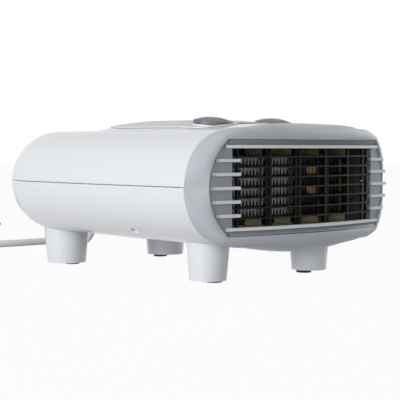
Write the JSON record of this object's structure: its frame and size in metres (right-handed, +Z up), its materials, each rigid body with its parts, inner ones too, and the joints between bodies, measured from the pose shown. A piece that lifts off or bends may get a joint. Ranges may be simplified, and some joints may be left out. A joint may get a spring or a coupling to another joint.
{
  "type": "fan heater",
  "caption": "Flat horizontal fan heater: rounded white two-part casing, grey front with fins and inner grille, two domed knobs, tapered feet, and a mains cord with its plug.",
  "frame": {"origin": "on the floor, below the middle of the heater measured without its cord", "axes": "+X to the right seen from the front, +Y from the front to the rear, +Z up"},
  "size_m": [0.2638, 0.5988, 0.1435],
  "materials": {
    "casing_white": "satin",
    "panel_grey": "matt",
    "surround_grey": "satin",
    "knob_grey": "satin",
    "black_plastic": "matt",
    "pad_rubber": "matt",
    "sheet_steel": "satin",
    "mica": "matt",
    "ribbon_alloy": "satin",
    "brass": "satin",
    "copper": "satin",
    "lead_red": "gloss",
    "cord_grey": "matt",
    "fan_grey": "satin"
  },
  "bodies": {
    "heater": {"upper_casing": "casing_white", "lower_casing": "casing_white", "front_surround": "surround_grey", "front_frame": "surround_grey", "outlet_grille": "black_plastic", "top_panel": "panel_grey", "foot_pads": "pad_rubber", "casing_screws": "sheet_steel", "element_box": "sheet_steel", "mica_boards": "mica", "element_uprights": "black_plastic", "heating_ribbon": "ribbon_alloy", "element_tags": "brass", "thermal_cutout": "sheet_steel", "thermal_fuse": "mica", "selector_switch": "black_plastic", "thermostat": "mica", "control_bracket": "sheet_steel", "control_screws": "sheet_steel", "fan_shroud": "black_plastic", "motor_stator": "sheet_steel", "motor_bobbin": "black_plastic", "motor_coil": "copper", "motor_bracket_front": "sheet_steel", "motor_bracket_rear": "sheet_steel", "motor_bushes": "brass", "motor_screws": "sheet_steel", "shroud_screws": "sheet_steel", "terminal_block": "casing_white", "terminal_screws": "sheet_steel", "internal_leads": "lead_red", "cord_clamp": "black_plastic", "cord_clamp_screws": "sheet_steel", "strain_relief": "cord_grey", "cord_inlet": "cord_grey", "cord": "cord_grey", "cord_coil": "cord_grey", "cord_tie": "black_plastic", "plug": "cord_grey", "plug_pins": "sheet_steel"},
    "fan": {"fan_wheel": "fan_grey", "motor_shaft": "sheet_steel", "motor_rotor": "sheet_steel"},
    "selector_control": {"selector_knob": "knob_grey", "selector_shaft": "sheet_steel"},
    "thermostat_control": {"thermostat_knob": "knob_grey", "thermostat_shaft": "sheet_steel"}
  },
  "joints": [
    {"name": "fan_spin", "type": "hinge", "parent": "heater", "child": "fan", "pos_m": [0, -0.02, 0.0835], "axis": [0, 1, 0], "continuous": true},
    {"name": "selector_turn", "type": "hinge", "parent": "heater", "child": "selector_control", "pos_m": [-0.039, -0.065, 0.1367], "axis": [0, -0.0906, 0.9959], "range_deg": [-180, 0]},
    {"name": "thermostat_turn", "type": "hinge", "parent": "heater", "child": "thermostat_control", "pos_m": [0.039, -0.065, 0.1367], "axis": [0, -0.0906, 0.9959], "range_deg": [-270, 0]}
  ]
}
